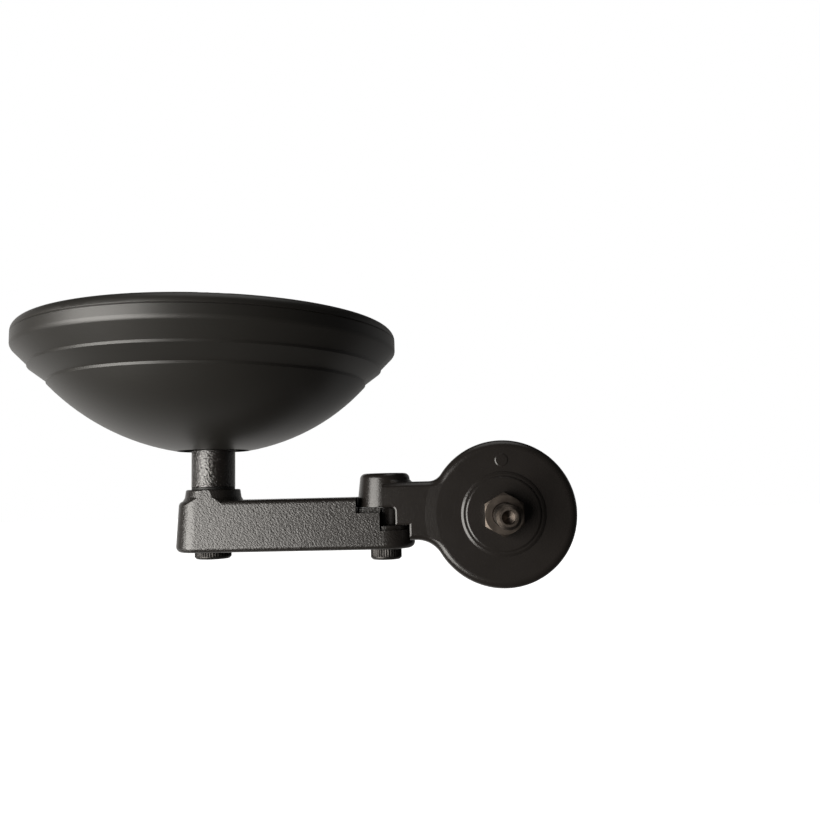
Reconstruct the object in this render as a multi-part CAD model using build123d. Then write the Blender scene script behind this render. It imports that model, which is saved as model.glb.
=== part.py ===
"""A motorcycle bar end mirror: a stud in the handlebar's end carries a cast disc, a swinging arm
and a round mirror head on a ball joint.

Millimetres, +Z up. The origin is on the stud's axis, at the lock nut's outer face. The stud points
along -Y into the handlebar, the arm runs along -X, and the glass faces +Z.
"""
from build123d import *
import os
from math import acos, asin, cos, degrees, radians, sin, sqrt, tan

# Clearances shared by everything that fits
RUNNING_FIT = 0.05
THREAD_FIT = 0.02
AXIAL_PLAY = 0.05
SWING_CLEARANCE = 0.3
LOOSE_FIT = 0.3
SEAM_CHAMFER = 0.2
TOLERANCE = 0.01
HEX_CORNER_RATIO = 2 / sqrt(3)

# Mounting stud and its lock nut
STUD_RADIUS = 3.0
STUD_THREAD_DEPTH = 0.325
STUD_FREE_LENGTH = 17.0
STUD_TIP_CHAMFER = 0.8
STUD_TIP_LAND = 0.6
STUD_DRILL_DEPTH = 2.5
STUD_HEAD_RADIUS = 5.0
STUD_HEAD_HEIGHT = 6.0
STUD_KEY_FLATS = 5.0
STUD_KEY_DEPTH = 3.0
NUT_FLATS = 10.0
NUT_HEIGHT = 5.0
NUT_CHAMFER_ANGLE = 30.0
NUT_COUNTERSINK = 0.5
HEAD_WASHER_RADIUS = 6.0
HEAD_WASHER_THICKNESS = 1.2
HEAD_CHAMFER = 0.5

# Bar end body: a disc with a neck to the pivot lug
BODY_DIAMETER = 39.2
BODY_THICKNESS = 15.8
BODY_EDGE_RADIUS = 2.2
BOSS_DIAMETER = 22.2
BOSS_LEDGE = 1.25
BOSS_STEP = 0.6
BOSS_BEVEL_WIDTH = 0.6
BOSS_BEVEL_HEIGHT = 0.3
LEDGE_BEVEL_WIDTH = 0.35
LEDGE_BEVEL_HEIGHT = 0.2
EJECTOR_MARK_RADIUS = 1.77
EJECTOR_MARK_RISE = 0.15
EJECTOR_MARK_FLARE = 60.0
NECK_TOP = 9.1
NECK_DEPTH = 6.5
NECK_TOP_BLEND = 4.0
NECK_BOTTOM_BLEND = 7.5
NECK_RECESS = 0.15
NECK_SLOPE_SETBACK = 0.3
NECK_SLOPE_WIDTH = 3.0
NECK_FOOT = 0.6
LAP_EDGE_CHAMFER = 0.22
LAP_CHAMFER_ANGLE = 62.0
LAP_CORNER_RADIUS = 1.2

# End cap and the ring that holds it
CAP_MARGIN = 2.7
CAP_RECESS = 1.0
CAP_DOME = 3.2
CAP_RIM = 0.9
CAP_EDGE_RADIUS = 0.6
CAP_WALL = 1.6
CAP_HEAD_CLEARANCE = 0.75
CAP_FLANGE = 2.7
SPIGOT_BACKING = 0.95
SPIGOT_LAND = 1.45
CAP_RING_SECTION = 1.5
CAP_RING_ROOM = 0.2

# Lap joint between the lug and the arm
PIVOT_REACH = 32.0
LUG_RADIUS = 7.75
LUG_DRAFT = 6.5
LUG_TOP = 11.6
LUG_CROWN = 3.4
LUG_EDGE_RADIUS = 1.5
LUG_UNDERSIDE = 2.5
LAP_STEP = 4.8
LAP_GAP = 1.5
TONGUE_THICKNESS = 2.05
HUB_RADIUS = 4.5
NECK_STEP_REACH = 3.4
NECK_HEEL_REACH = 7.15
ARM_STEP_SETBACK = 0.9
ARM_SHOULDER_SETBACK = 7.3

# Arm
ARM_REACH = 48.6
ARM_END_REACH = 9.75
ARM_HALF_WIDTH = 8.35
ARM_CORNER_RADIUS = 7.0
ARM_PIVOT_RADIUS = 8.1
ARM_TOP = 5.2
ARM_DRAFT = 3.3
LEDGE_LAND_REACH = 6.9
LEDGE_LAND_HALF_WIDTH = 5.6
TONGUE_LAND_RADIUS = 6.9
ARM_TOP_EDGE_RADIUS = 1.4
ARM_BOTTOM_EDGE_RADIUS = 1.6
COLLAR_MARGIN = 1.72
COLLAR_HEIGHT = 3.1
COLLAR_DRAFT = 8.0
COLLAR_EDGE_RADIUS = 0.5
COLLAR_FOOT_WIDTH = 1.32
COLLAR_FOOT_DROP = 1.3
COLLAR_FOOT_RISE = 0.9
COLLAR_FOOT_RADIUS = 0.5

# Pivot screw
PIVOT_SCREW_RADIUS = 2.5
PIVOT_HEAD_RADIUS = 4.25
PIVOT_HEAD_HEIGHT = 5.0
PIVOT_HEAD_SUNK = 2.0
PIVOT_KEY_FLATS = 4.0
PIVOT_KEY_DEPTH = 2.5
PIVOT_SPRING_THICKNESS = 0.6

# Stem screw
STEM_SCREW_RADIUS = 3.0
STEM_SCREW_BITE = 6.35
STEM_HEAD_RADIUS = 5.0
STEM_HEAD_HEIGHT = 6.0
STEM_HEAD_SHOWN = 2.0
STEM_KEY_FLATS = 5.0
STEM_KEY_DEPTH = 3.0
STEM_SPRING_THICKNESS = 1.2
SPRING_WASHER_RISE = 0.3
TAPPING_SPARE = 1.0

# Ball stem, its washer and its ball joint
STEM_RADIUS = 6.0
STEM_SHOWN = 10.85
STEM_FOOT_CHAMFER = 0.15
STEM_WASHER_SETBACK = 0.1
STEM_WASHER_THICKNESS = 0.5
BALL_RADIUS = 7.0
BALL_FLAT = 0.8
BALL_NECK_RADIUS = 3.2
LINER_THICKNESS = 1.2
LINER_OPENING_ANGLE = 47.0
LINER_TOP_ANGLE = 112.0
LINER_SLIT = 1.0
SEAT_WALL = 5.7
SEAT_LIP = 1.12
SEAT_OPENING_ANGLE = 54.0
SEAT_MOUTH_ANGLE = 57.0
CLAMP_WALL = 5.2
CLAMP_CROWN = 1.9
CLAMP_PARTING = 0.35
CLAMP_NOSE_RADIUS = 5.0
CLAMP_NOSE_HEIGHT = 1.5
SPRING_RADIUS = 11.0
SPRING_THICKNESS = 0.9
SPRING_RISE = 1.2
RETAINER_MARGIN = 3.8
RETAINER_THICKNESS = 1.5
RETAINER_EYE_RADIUS = 7.0
TOWER_WALL = 2.5
TOWER_RISE = 2.0
POST_COUNT = 3
POST_OFFSET = 4.95
POST_RADIUS = 3.4
RETAINER_SCREW_RADIUS = 1.5
RETAINER_SCREW_LENGTH = 11.0
RETAINER_HEAD_RADIUS = 2.75
RETAINER_HEAD_HEIGHT = 1.9
RETAINER_KEY_FLATS = 2.0
RETAINER_KEY_DEPTH = 1.1

# Mirror head
STEM_HOLE_CLEARANCE = 4.0
BOWL_FLOOR = 2.85
BOWL_WALL = 2.2
HEAD_ROOM = 2.67
LOWER_BAND_WIDTH = 4.6
UPPER_BAND_WIDTH = 4.1
STEP_WALL = 0.65
LOWER_BAND_ANGLE = 37.0
UPPER_BAND_ANGLE = 45.5
RIM_RADIUS = 52.0
RIM_WALL_HEIGHT = 3.2
RIM_WALL_THICKNESS = 2.0
RIM_EDGE_RADIUS = 1.6
LEDGE_WIDTH = 3.9
BEZEL_HEIGHT = 2.8
BEZEL_EDGE_RADIUS = 2.5
BEZEL_OVERLAP = 1.7
BEZEL_LIP_EDGE_RADIUS = 0.8
BEZEL_LIP_RISE = 1.0
BEZEL_SKIRT = 1.3
BEZEL_SKIRT_WALL = 0.6
GLASS_CLEARANCE = 0.15
GLASS_THICKNESS = 2.0
GLASS_CURVE_RADIUS = 1200.0
PAD_MARGIN = 3.0
PAD_EDGE_THICKNESS = 0.6
PLATE_THICKNESS = 1.2

# Places along the stud's axis, from the handlebar outwards
STUD_PITCH_RADIUS = STUD_RADIUS - STUD_THREAD_DEPTH
STUD_DRILL_RADIUS = STUD_RADIUS - STUD_TIP_CHAMFER - STUD_TIP_LAND
BODY_RADIUS = BODY_DIAMETER / 2
BOSS_RADIUS = BOSS_DIAMETER / 2
BOSS_FACE_Y = NUT_HEIGHT + AXIAL_PLAY
FACE_Y = BOSS_FACE_Y + 2 * BOSS_STEP
MID_Y = FACE_Y + BODY_THICKNESS / 2
OUTER_Y = FACE_Y + BODY_THICKNESS
CAP_RADIUS = BODY_RADIUS - CAP_MARGIN
SPIGOT_RADIUS = CAP_RADIUS - CAP_FLANGE
CAVITY_RADIUS = SPIGOT_RADIUS + RUNNING_FIT
CAP_GROOVE_RADIUS = CAVITY_RADIUS - CAP_RING_SECTION
CAP_SEAT_Y = OUTER_Y - CAP_RECESS
CAP_GROOVE_HIGH_Y = CAP_SEAT_Y - SPIGOT_LAND
CAP_GROOVE_LOW_Y = CAP_GROOVE_HIGH_Y - CAP_RING_SECTION - CAP_RING_ROOM
STUD_HEAD_Y = CAP_SEAT_Y - CAP_HEAD_CLEARANCE - STUD_HEAD_HEIGHT
CAVITY_Y = STUD_HEAD_Y - HEAD_WASHER_THICKNESS - AXIAL_PLAY

# The lap joint's heights, from the lug down to the pivot screw's head
PIVOT_X = -PIVOT_REACH
STEM_X = PIVOT_X - ARM_REACH
PIVOT = (PIVOT_X, MID_Y, 0)
STEM = (STEM_X, MID_Y, 0)
PIVOT_THREAD_TOP_Z = LUG_TOP - LUG_CROWN
HUB_FOOT_Z = LUG_UNDERSIDE - LAP_STEP
ARM_LEDGE_Z = LUG_UNDERSIDE - LAP_GAP
ARM_TONGUE_Z = HUB_FOOT_Z - LAP_GAP
PIVOT_SEAT_Z = ARM_TONGUE_Z - TONGUE_THICKNESS
PIVOT_HEAD_Z = PIVOT_SEAT_Z - AXIAL_PLAY - SPRING_WASHER_RISE - PIVOT_SPRING_THICKNESS
ARM_BOTTOM_Z = PIVOT_HEAD_Z - PIVOT_HEAD_SUNK

# The stem's heights, from its screw up to the retainer plate
STEM_HEAD_Z = ARM_BOTTOM_Z + STEM_HEAD_HEIGHT - STEM_HEAD_SHOWN
STEM_SEAT_Z = STEM_HEAD_Z + STEM_SPRING_THICKNESS + SPRING_WASHER_RISE + AXIAL_PLAY
COLLAR_TOP_Z = ARM_TOP + COLLAR_HEIGHT
COLLAR_RADIUS = STEM_RADIUS + COLLAR_MARGIN
STEM_WASHER_Z = COLLAR_TOP_Z + AXIAL_PLAY
STEM_FOOT_Z = STEM_WASHER_Z + STEM_WASHER_THICKNESS
STEM_SCREW_END_Z = STEM_FOOT_Z + STEM_SCREW_BITE
HEAD_BOTTOM_Z = COLLAR_TOP_Z + STEM_SHOWN
SEAT_FLOOR_Z = HEAD_BOTTOM_Z + BOWL_FLOOR
LINER_INNER_RADIUS = BALL_RADIUS + RUNNING_FIT
LINER_OUTER_RADIUS = LINER_INNER_RADIUS + LINER_THICKNESS
SOCKET_RADIUS = LINER_OUTER_RADIUS + RUNNING_FIT
SEAT_RADIUS = SOCKET_RADIUS + SEAT_WALL
BALL_Z = SEAT_FLOOR_Z + SEAT_LIP + SOCKET_RADIUS * cos(radians(SEAT_OPENING_ANGLE))
CLAMP_RADIUS = SOCKET_RADIUS + CLAMP_WALL
CLAMP_TOP_Z = BALL_Z + SOCKET_RADIUS + CLAMP_CROWN
RETAINER_Z = CLAMP_TOP_Z + SPRING_RISE + SPRING_THICKNESS
RETAINER_TOP_Z = RETAINER_Z + RETAINER_THICKNESS
RETAINER_HEAD_TOP_Z = RETAINER_TOP_Z + RETAINER_HEAD_HEIGHT
POCKET_RADIUS = SEAT_RADIUS + RUNNING_FIT
POST_CIRCLE_RADIUS = POCKET_RADIUS + POST_OFFSET
RETAINER_RADIUS = POST_CIRCLE_RADIUS + RETAINER_MARGIN

# Radii of the mirror head, from the rim inwards
RIM_INNER_RADIUS = RIM_RADIUS - RIM_WALL_THICKNESS
LEDGE_RADIUS = RIM_INNER_RADIUS - LEDGE_WIDTH
SKIRT_OUTER_RADIUS = RIM_INNER_RADIUS - RUNNING_FIT
SKIRT_INNER_RADIUS = SKIRT_OUTER_RADIUS - BEZEL_SKIRT_WALL
GLASS_RADIUS = SKIRT_INNER_RADIUS - GLASS_CLEARANCE
BEZEL_LIP_RADIUS = GLASS_RADIUS - BEZEL_OVERLAP
PAD_RADIUS = GLASS_RADIUS - PAD_MARGIN
UPPER_STEP_RADIUS = RIM_RADIUS - UPPER_BAND_WIDTH
LOWER_STEP_RADIUS = UPPER_STEP_RADIUS - LOWER_BAND_WIDTH
STEM_HOLE_RADIUS = STEM_RADIUS + STEM_HOLE_CLEARANCE


def glass_sag(radius):
    """How far the bent glass falls from its middle at a radius."""
    return GLASS_CURVE_RADIUS - sqrt(GLASS_CURVE_RADIUS**2 - radius**2)


# Heights of the mirror head: the glass lies over the retainer's screws, and the rim follows the glass
LEDGE_Z = RETAINER_HEAD_TOP_Z + HEAD_ROOM
PLATE_TOP_Z = LEDGE_Z + PLATE_THICKNESS
GLASS_BACK_Z = PLATE_TOP_Z + PAD_EDGE_THICKNESS + glass_sag(GLASS_RADIUS)
GLASS_CROWN_Z = GLASS_BACK_Z + GLASS_THICKNESS
BEZEL_LIP_Z = GLASS_CROWN_Z - glass_sag(BEZEL_LIP_RADIUS) + AXIAL_PLAY
SEAM_Z = BEZEL_LIP_Z - BEZEL_LIP_RISE
BEZEL_TOP_Z = SEAM_Z + BEZEL_HEIGHT
RIM_EDGE_Z = SEAM_Z - RIM_WALL_HEIGHT
UPPER_BAND_Z = RIM_EDGE_Z - tan(radians(UPPER_BAND_ANGLE)) * UPPER_BAND_WIDTH
UPPER_STEP_Z = UPPER_BAND_Z - STEP_WALL
LOWER_BAND_Z = UPPER_STEP_Z - tan(radians(LOWER_BAND_ANGLE)) * LOWER_BAND_WIDTH
LOWER_STEP_Z = LOWER_BAND_Z - STEP_WALL

# The bowl is the part of a sphere between the stem's hole and the lower step
BOWL_DEPTH = LOWER_STEP_Z - HEAD_BOTTOM_Z
BOWL_CENTRE_RISE = (LOWER_STEP_RADIUS**2 - STEM_HOLE_RADIUS**2 + BOWL_DEPTH**2) / (2 * BOWL_DEPTH)
BOWL_CENTRE_Z = HEAD_BOTTOM_Z + BOWL_CENTRE_RISE
BOWL_RADIUS = sqrt(STEM_HOLE_RADIUS**2 + BOWL_CENTRE_RISE**2)


def outline(*corners):
    """A closed face from (across, up) corners, or (across, up, corner radius) ones."""
    points = [corner[:2] for corner in corners]
    radii = [corner[2] if len(corner) > 2 else 0 for corner in corners]
    return make_face(FilletPolyline(*points, radius=radii, close=True))


def turned_on_stud(*corners):
    """A solid turned about the stud's axis, from (radius, y) corners."""
    return revolve(outline(*corners), Axis.Y)


def turned_upright(place, *corners):
    """A solid turned about an upright axis at a place, from (radius, z) corners."""
    return Pos(*place) * revolve(Plane.XZ * outline(*corners), Axis.Z)


def turned_profile(place, *edges):
    """A solid turned about an upright axis from lines and arcs drawn in (radius, z)."""
    profile = make_face(Curve() + list(edges))
    return Pos(*place) * revolve(Plane.XZ * profile, Axis.Z)


def pillar(place, radius, low, high):
    """An upright cylinder between two heights."""
    return turned_upright(place, (0, low), (radius, low), (radius, high), (0, high))


def ring(place, inner, outer, low, high):
    """An upright ring between two heights."""
    return turned_upright(place, (inner, low), (outer, low), (outer, high), (inner, high))


def cone_washer(place, inner, outer, low, thickness, rise):
    """A cone-shaped washer whose inner edge stands on a height."""
    return turned_upright(
        place,
        (inner, low),
        (outer, low + rise),
        (outer, low + rise + thickness),
        (inner, low + thickness),
    )


def block(low, high):
    """A box between two corners."""
    size = [top - bottom for bottom, top in zip(low, high)]
    return Pos(*low) * Box(*size, align=(Align.MIN, Align.MIN, Align.MIN))


def hex_prism(flats, height):
    """An upright hexagonal prism on the XY plane, its corners towards +Y and -Y."""
    return extrude(RegularPolygon(flats / 2, 6, major_radius=False, rotation=90), amount=height)


def cap_screw(place, head_z, end_z, radius, head_radius, head_height, key_flats, key_depth):
    """A socket head cap screw that points up to end_z, with its head below head_z."""
    foot_z = head_z - head_height
    screw = turned_upright(
        place,
        (0, foot_z),
        (head_radius - HEAD_CHAMFER, foot_z),
        (head_radius, foot_z + HEAD_CHAMFER),
        (head_radius, head_z),
        (radius, head_z),
        (radius, end_z - HEAD_CHAMFER),
        (radius - HEAD_CHAMFER, end_z),
        (0, end_z),
    )
    return screw - Pos(place[0], place[1], foot_z) * hex_prism(key_flats, key_depth)


def ball_point(radius, angle):
    """A point (radius, z) at a distance from the ball's centre, by its angle from straight down."""
    return radius * sin(radians(angle)), BALL_Z - radius * cos(radians(angle))


def ball_arc(radius, start, end):
    """An arc about the ball's centre between two angles from straight down."""
    return CenterArc((0, BALL_Z), radius, start - 90, end - start)


# Pieces that stay with the handlebar

def make_mounting_stud():
    """A bolt whose head sits inside the disc and whose threaded end goes into the handlebar."""
    tip_y = -STUD_FREE_LENGTH
    drill_y = tip_y + STUD_DRILL_DEPTH
    head_end_y = STUD_HEAD_Y + STUD_HEAD_HEIGHT
    bolt = turned_on_stud(
        (0, drill_y + STUD_DRILL_RADIUS / 2),
        (STUD_DRILL_RADIUS, drill_y),
        (STUD_DRILL_RADIUS, tip_y),
        (STUD_RADIUS - STUD_TIP_CHAMFER, tip_y),
        (STUD_RADIUS, tip_y + STUD_TIP_CHAMFER),
        (STUD_RADIUS, 0),
        (STUD_PITCH_RADIUS, 0),
        (STUD_PITCH_RADIUS, NUT_HEIGHT),
        (STUD_RADIUS, NUT_HEIGHT),
        (STUD_RADIUS, STUD_HEAD_Y),
        (STUD_HEAD_RADIUS, STUD_HEAD_Y),
        (STUD_HEAD_RADIUS, head_end_y - HEAD_CHAMFER),
        (STUD_HEAD_RADIUS - HEAD_CHAMFER, head_end_y),
        (0, head_end_y),
    )
    key = Pos(0, head_end_y, 0) * Rot(X=90) * hex_prism(STUD_KEY_FLATS, STUD_KEY_DEPTH)
    return bolt - key


def make_lock_nut():
    """A hexagon nut with its corners up and down, chamfered on both faces."""
    flat_radius = NUT_FLATS / 2
    corner_radius = flat_radius * HEX_CORNER_RATIO
    chamfer_depth = (corner_radius - flat_radius) * tan(radians(NUT_CHAMFER_ANGLE))
    bore = STUD_PITCH_RADIUS + THREAD_FIT
    mouth = bore + NUT_COUNTERSINK
    blank = Pos(0, NUT_HEIGHT, 0) * Rot(X=90) * hex_prism(NUT_FLATS, NUT_HEIGHT)
    turned = turned_on_stud(
        (mouth, 0),
        (flat_radius, 0),
        (corner_radius, chamfer_depth),
        (corner_radius, NUT_HEIGHT - chamfer_depth),
        (flat_radius, NUT_HEIGHT),
        (mouth, NUT_HEIGHT),
        (bore, NUT_HEIGHT - NUT_COUNTERSINK),
        (bore, NUT_COUNTERSINK),
    )
    return blank & turned


def make_head_washer():
    """A flat washer between the stud's head and the floor of the disc's cavity."""
    low = CAVITY_Y + AXIAL_PLAY
    inner = STUD_RADIUS + RUNNING_FIT
    return turned_on_stud(
        (inner, low), (HEAD_WASHER_RADIUS, low), (HEAD_WASHER_RADIUS, STUD_HEAD_Y), (inner, STUD_HEAD_Y)
    )


# Bar end body and the pieces fixed to it

def make_bar_end_body():
    """One casting: the disc, the neck and the stepped lug that the arm laps under."""
    neck = Rectangle(PIVOT_REACH, NECK_TOP + NECK_DEPTH)
    side = Circle(BODY_RADIUS) + Pos(PIVOT_X / 2, (NECK_TOP - NECK_DEPTH) / 2) * neck
    for blend, height in ((NECK_TOP_BLEND, NECK_TOP), (NECK_BOTTOM_BLEND, -NECK_DEPTH)):
        level = side.vertices().filter_by_position(Axis.Y, height - TOLERANCE, height + TOLERANCE)
        side = fillet(level.sort_by(Axis.X)[-1], blend)
    side_plane = Plane(origin=(0, FACE_Y, 0), x_dir=(1, 0, 0), z_dir=(0, -1, 0))
    body = extrude(side_plane * side, amount=-BODY_THICKNESS)
    rims = body.edges().group_by(Axis.Y)[0] + body.edges().group_by(Axis.Y)[-1]
    body = fillet([e for e in rims if e.center().X > PIVOT_X + TOLERANCE], BODY_EDGE_RADIUS)

    far = BODY_DIAMETER
    mid_plane = Plane.XZ.offset(-MID_Y)
    slope_radius = BODY_RADIUS - BODY_EDGE_RADIUS + NECK_SLOPE_SETBACK
    shoulder = turned_on_stud(
        (0, FACE_Y - NECK_RECESS),
        (slope_radius - NECK_SLOPE_WIDTH, FACE_Y - NECK_RECESS),
        (slope_radius + NECK_SLOPE_WIDTH, FACE_Y + NECK_RECESS),
        (0, FACE_Y + NECK_RECESS),
    )
    relief = block((PIVOT_X - far, FACE_Y - far, -far), (0, FACE_Y + NECK_RECESS, far)) - shoulder
    body -= relief
    body -= mirror(relief, about=mid_plane)

    lug_top_radius = LUG_RADIUS - (LUG_TOP - LUG_UNDERSIDE) * tan(radians(LUG_DRAFT))
    body += turned_upright(
        PIVOT,
        (0, LUG_UNDERSIDE),
        (LUG_RADIUS, LUG_UNDERSIDE),
        (lug_top_radius, LUG_TOP, LUG_EDGE_RADIUS),
        (0, LUG_TOP),
    )
    foot_radius = LUG_RADIUS - (NECK_TOP - LUG_UNDERSIDE) * tan(radians(LUG_DRAFT)) + NECK_FOOT
    foot = turned_upright(
        PIVOT,
        (0, NECK_TOP - NECK_FOOT),
        (foot_radius, NECK_TOP - NECK_FOOT),
        (foot_radius, NECK_TOP),
        (foot_radius - NECK_FOOT, NECK_TOP + NECK_FOOT),
        (0, NECK_TOP + NECK_FOOT),
    )
    foot_inset = NECK_RECESS + BODY_EDGE_RADIUS / 2
    body += foot & block((PIVOT_X, FACE_Y + foot_inset, -far), (0, OUTER_Y - foot_inset, far))
    step_x = PIVOT_X + NECK_STEP_REACH
    heel_x = PIVOT_X + NECK_HEEL_REACH
    lap = outline(
        (PIVOT_X - far, LUG_UNDERSIDE),
        (PIVOT_X - far, -far),
        (heel_x, -far),
        (heel_x, HUB_FOOT_Z),
        (step_x, HUB_FOOT_Z),
        (step_x, LUG_UNDERSIDE, LAP_CORNER_RADIUS),
    )
    body -= extrude(side_plane.offset(BODY_THICKNESS / -2) * lap, amount=BODY_THICKNESS, both=True)
    flare_plane = side_plane.offset(-NECK_RECESS - LAP_EDGE_CHAMFER)
    flare = extrude(flare_plane * lap, amount=2 * LAP_EDGE_CHAMFER, taper=-LAP_CHAMFER_ANGLE)
    body -= flare
    body -= mirror(flare, about=mid_plane)
    body -= pillar(PIVOT, ARM_PIVOT_RADIUS + SWING_CLEARANCE, -far, HUB_FOOT_Z)
    body += pillar(PIVOT, HUB_RADIUS, HUB_FOOT_Z, LUG_UNDERSIDE + LUG_EDGE_RADIUS)

    ledge_radius = BOSS_RADIUS - BOSS_LEDGE
    body += turned_on_stud(
        (0, FACE_Y + BOSS_STEP),
        (BOSS_RADIUS, FACE_Y + BOSS_STEP),
        (BOSS_RADIUS, FACE_Y - BOSS_STEP + BOSS_BEVEL_HEIGHT),
        (BOSS_RADIUS - BOSS_BEVEL_WIDTH, FACE_Y - BOSS_STEP),
        (ledge_radius, FACE_Y - BOSS_STEP),
        (ledge_radius, BOSS_FACE_Y + LEDGE_BEVEL_HEIGHT),
        (ledge_radius - LEDGE_BEVEL_WIDTH, BOSS_FACE_Y),
        (0, BOSS_FACE_Y),
    )
    bore = STUD_RADIUS + RUNNING_FIT
    body -= turned_on_stud((0, 0), (bore, 0), (bore, OUTER_Y), (0, OUTER_Y))
    body -= turned_on_stud((0, CAVITY_Y), (CAVITY_RADIUS, CAVITY_Y), (CAVITY_RADIUS, OUTER_Y), (0, OUTER_Y))
    recess = CAP_RADIUS + LOOSE_FIT
    body -= turned_on_stud((0, CAP_SEAT_Y), (recess, CAP_SEAT_Y), (recess, OUTER_Y), (0, OUTER_Y))
    mark_height = (BOSS_RADIUS + BODY_RADIUS - BODY_EDGE_RADIUS) / 2
    mark = extrude(Circle(EJECTOR_MARK_RADIUS), amount=EJECTOR_MARK_RISE, taper=EJECTOR_MARK_FLARE)
    body += Pos(0, FACE_Y, mark_height) * Rot(X=90) * mark
    return body - pillar(PIVOT, PIVOT_SCREW_RADIUS + THREAD_FIT, HUB_FOOT_Z, PIVOT_THREAD_TOP_Z)


def make_end_cap():
    """A domed cap with a hollow spigot that plugs the disc's outboard side."""
    crown_y = OUTER_Y + CAP_DOME
    rim_y = OUTER_Y + CAP_RIM
    dome_radius = (CAP_RADIUS**2 + (crown_y - rim_y) ** 2) / (2 * (crown_y - rim_y))
    sides = Polyline((0, crown_y), (0, CAP_SEAT_Y), (CAP_RADIUS, CAP_SEAT_Y), (CAP_RADIUS, rim_y))
    dome = RadiusArc((CAP_RADIUS, rim_y), (0, crown_y), -dome_radius)
    section = make_face(Curve() + [*sides.edges(), dome])
    corner = section.vertices().group_by(Axis.X)[-1].sort_by(Axis.Y)[-1]
    cap = revolve(fillet(corner, CAP_EDGE_RADIUS), Axis.Y)
    spigot_end = CAP_GROOVE_LOW_Y - SPIGOT_LAND
    spigot_inner = CAP_GROOVE_RADIUS - SPIGOT_BACKING
    cap += turned_on_stud(
        (spigot_inner, CAP_SEAT_Y),
        (spigot_inner, spigot_end),
        (SPIGOT_RADIUS - SEAM_CHAMFER, spigot_end),
        (SPIGOT_RADIUS, spigot_end + SEAM_CHAMFER),
        (SPIGOT_RADIUS, CAP_GROOVE_LOW_Y),
        (CAP_GROOVE_RADIUS, CAP_GROOVE_LOW_Y),
        (CAP_GROOVE_RADIUS, CAP_GROOVE_HIGH_Y),
        (SPIGOT_RADIUS, CAP_GROOVE_HIGH_Y),
        (SPIGOT_RADIUS, CAP_SEAT_Y),
    )
    hollow = Pos(0, crown_y - dome_radius, 0) * Sphere(dome_radius - CAP_WALL)
    return cap - (hollow & turned_on_stud(
        (0, CAP_SEAT_Y), (spigot_inner, CAP_SEAT_Y), (spigot_inner, crown_y), (0, crown_y)
    ))


def make_cap_o_ring():
    """A rubber ring in the cap's groove."""
    section = CAP_RING_SECTION / 2 - THREAD_FIT
    middle = CAVITY_RADIUS - CAP_RING_SECTION / 2
    groove_mid = (CAP_GROOVE_LOW_Y + CAP_GROOVE_HIGH_Y) / 2
    return Pos(0, groove_mid, 0) * Rot(X=90) * Torus(middle, section)


def make_pivot_screw():
    """The screw that the arm swings on, threaded into the lug's hub."""
    return cap_screw(
        PIVOT,
        PIVOT_HEAD_Z,
        PIVOT_THREAD_TOP_Z - TAPPING_SPARE,
        PIVOT_SCREW_RADIUS,
        PIVOT_HEAD_RADIUS,
        PIVOT_HEAD_HEIGHT,
        PIVOT_KEY_FLATS,
        PIVOT_KEY_DEPTH,
    )


def make_pivot_spring_washer():
    """A cone washer that keeps the pivot screw's grip even."""
    inner = PIVOT_SCREW_RADIUS + RUNNING_FIT
    outer = PIVOT_HEAD_RADIUS
    return cone_washer(PIVOT, inner, outer, PIVOT_HEAD_Z, PIVOT_SPRING_THICKNESS, SPRING_WASHER_RISE)


# Arm and the washer on its tongue

def arm_plan(inset, height):
    """The arm's outline at a height: a blunt end at the stem and a round one at the pivot."""
    corner_x = STEM_X - ARM_END_REACH + ARM_CORNER_RADIUS
    corner_y = ARM_HALF_WIDTH - ARM_CORNER_RADIUS
    edges = (Pos(PIVOT_X, MID_Y) * Circle(ARM_PIVOT_RADIUS - inset)).edges()
    for y in (MID_Y - corner_y, MID_Y + corner_y):
        edges += (Pos(corner_x, y) * Circle(ARM_CORNER_RADIUS - inset)).edges()
    return Pos(0, 0, height) * make_hull(edges)


def arm_sides(top):
    """The arm's drafted body, from its bottom up to a height."""
    inset = (top - ARM_BOTTOM_Z) * tan(radians(ARM_DRAFT))
    return loft([arm_plan(0, ARM_BOTTOM_Z), arm_plan(inset, top)], ruled=True)


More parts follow.
